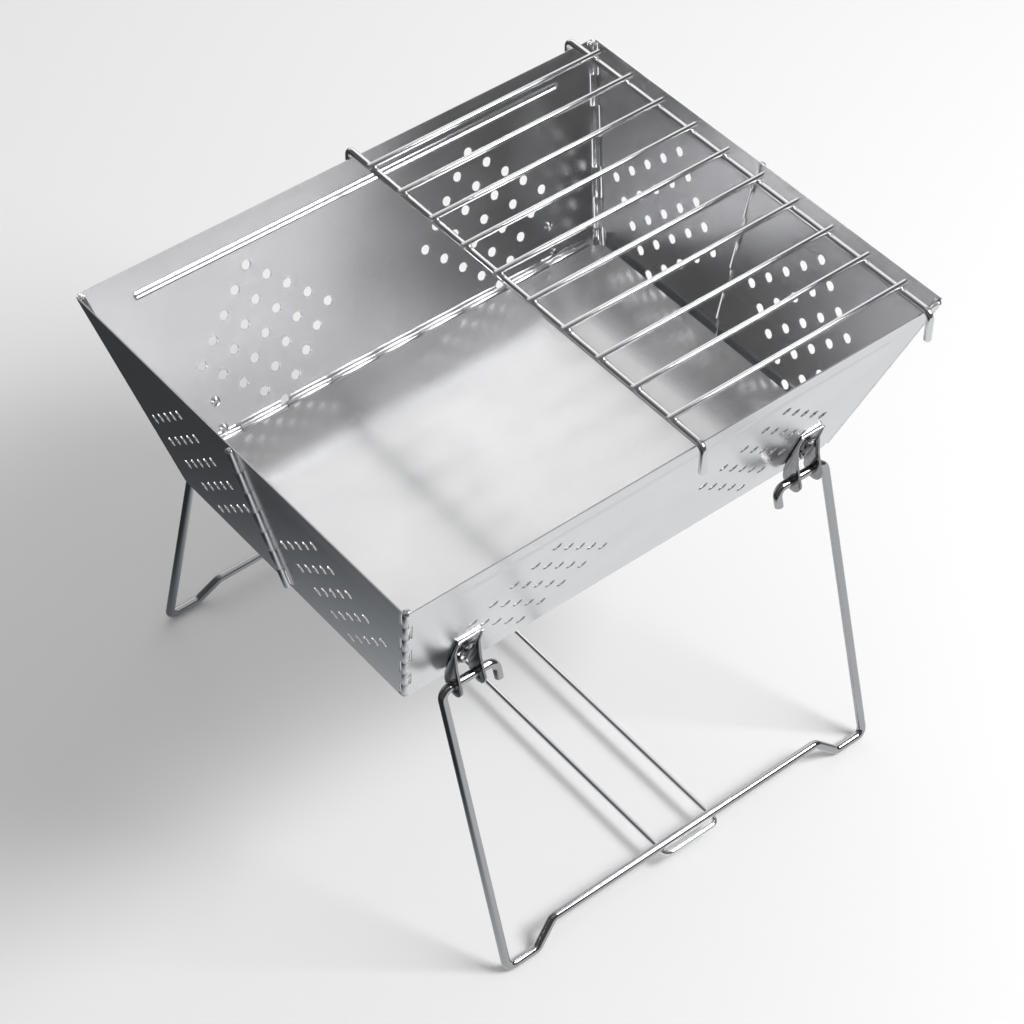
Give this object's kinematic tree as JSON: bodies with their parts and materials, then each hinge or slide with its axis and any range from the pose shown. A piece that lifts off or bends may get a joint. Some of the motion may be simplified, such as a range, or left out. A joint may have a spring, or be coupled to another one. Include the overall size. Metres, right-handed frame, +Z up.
{
  "type": "folding square grill",
  "caption": "Tabletop charcoal grill that folds flat: a flared firebox of hinged perforated sheets on bent wire legs, with a hinged floor plate and a hook-on half grate.",
  "frame": {"origin": "on the ground under the middle of the firebox, standing ready for use", "axes": "+X along the front wall to the grate's end, +Y from the front wall to the rear wall, +Z up"},
  "size_m": [0.4082, 0.38, 0.3542],
  "materials": {
    "sheet": "satin stainless sheet",
    "brackets": "satin stainless",
    "wire": "bright drawn wire",
    "pins": "plain drawn rod",
    "fasteners": "bright plated"
  },
  "bodies": {
    "rear_wall": {"rear_wall": "sheet", "left_rear_pin": "pins", "right_rear_pin": "pins", "rear_left_bracket": "brackets", "rear_right_bracket": "brackets", "rear_screws": "fasteners", "rear_nuts": "fasteners"},
    "left_rear_panel": {"left_rear_panel": "sheet", "left_middle_pin": "pins"},
    "left_front_panel": {"left_front_panel": "sheet", "left_front_pin": "pins"},
    "front_wall": {"front_wall": "sheet", "front_left_bracket": "brackets", "front_right_bracket": "brackets", "front_screws": "fasteners", "front_nuts": "fasteners"},
    "right_rear_panel": {"right_rear_panel": "sheet", "right_middle_pin": "pins"},
    "right_front_panel": {"right_front_panel": "sheet", "right_front_pin": "pins"},
    "floor_hinge": {"floor_hinge_leaf": "sheet", "floor_hinge_pin": "pins"},
    "floor_plate": {"floor_plate": "sheet"},
    "grate": {"grate_left_rod": "wire", "grate_right_rod": "wire", "grate_bars": "wire"},
    "front_leg": {"front_leg": "wire"},
    "rear_leg": {"rear_leg": "wire"},
    "spreader": {"spreader": "wire"}
  },
  "joints": [
    {"name": "box_fold", "type": "hinge", "parent": "rear_wall", "child": "left_rear_panel", "pos_m": [-0.19795, 0.16037, 0.345], "axis": [-0.2132, 0.3315, 0.919], "range_deg": [0, 87]},
    {"name": "left_middle_fold", "type": "hinge", "parent": "left_rear_panel", "child": "left_front_panel", "pos_m": [-0.20205, 0, 0.345], "axis": [0.226, 0, -0.9741], "range_deg": [0, 166]},
    {"name": "left_front_fold", "type": "hinge", "parent": "left_front_panel", "child": "front_wall", "pos_m": [-0.19795, -0.16037, 0.345], "axis": [-0.2132, -0.3315, 0.919], "range_deg": [0, 87.5]},
    {"name": "right_rear_fold", "type": "hinge", "parent": "rear_wall", "child": "right_rear_panel", "pos_m": [0.19795, 0.16037, 0.345], "axis": [-0.2132, -0.3315, -0.919], "range_deg": [0, 87.5]},
    {"name": "right_middle_fold", "type": "hinge", "parent": "right_rear_panel", "child": "right_front_panel", "pos_m": [0.20205, 0, 0.345], "axis": [0.226, 0, 0.9741], "range_deg": [0, 166]},
    {"name": "floor_lift", "type": "slide", "parent": "rear_wall", "child": "floor_hinge", "axis": [0, 0, 1], "range_m": [0, 1.108]},
    {"name": "floor_swing", "type": "hinge", "parent": "floor_hinge", "child": "floor_plate", "pos_m": [0, 0.11484, 0.222], "axis": [-1, 0, 0], "range_deg": [0, 105]},
    {"name": "grate_lift", "type": "slide", "parent": "floor_hinge", "child": "grate", "axis": [0, 0, 1], "range_m": [0, 0.17]},
    {"name": "front_leg_fold", "type": "hinge", "parent": "front_wall", "child": "front_leg", "pos_m": [0, -0.12602, 0.21146], "axis": [-1, 0, 0], "range_deg": [0, 143]},
    {"name": "rear_leg_fold", "type": "hinge", "parent": "rear_wall", "child": "rear_leg", "pos_m": [0, 0.12602, 0.21146], "axis": [1, 0, 0], "range_deg": [0, 143]},
    {"name": "spreader_fold", "type": "hinge", "parent": "rear_leg", "child": "spreader", "pos_m": [0, 0.18279, 0.0174], "axis": [-1, 0, 0], "range_deg": [0, 74]}
  ],
  "couplings": [
    {"joint": "box_fold", "follows": "floor_lift", "rad_per_m": 1.3699},
    {"joint": "left_middle_fold", "follows": "floor_lift", "rad_per_m": 2.6055},
    {"joint": "left_front_fold", "follows": "floor_lift", "rad_per_m": 1.3699},
    {"joint": "right_rear_fold", "follows": "floor_lift", "rad_per_m": 1.3699},
    {"joint": "right_middle_fold", "follows": "floor_lift", "rad_per_m": 2.6055},
    {"joint": "grate_lift", "follows": "floor_swing", "m_per_rad": 0.0917},
    {"joint": "spreader_fold", "follows": "rear_leg_fold", "ratio": 0.514}
  ]
}
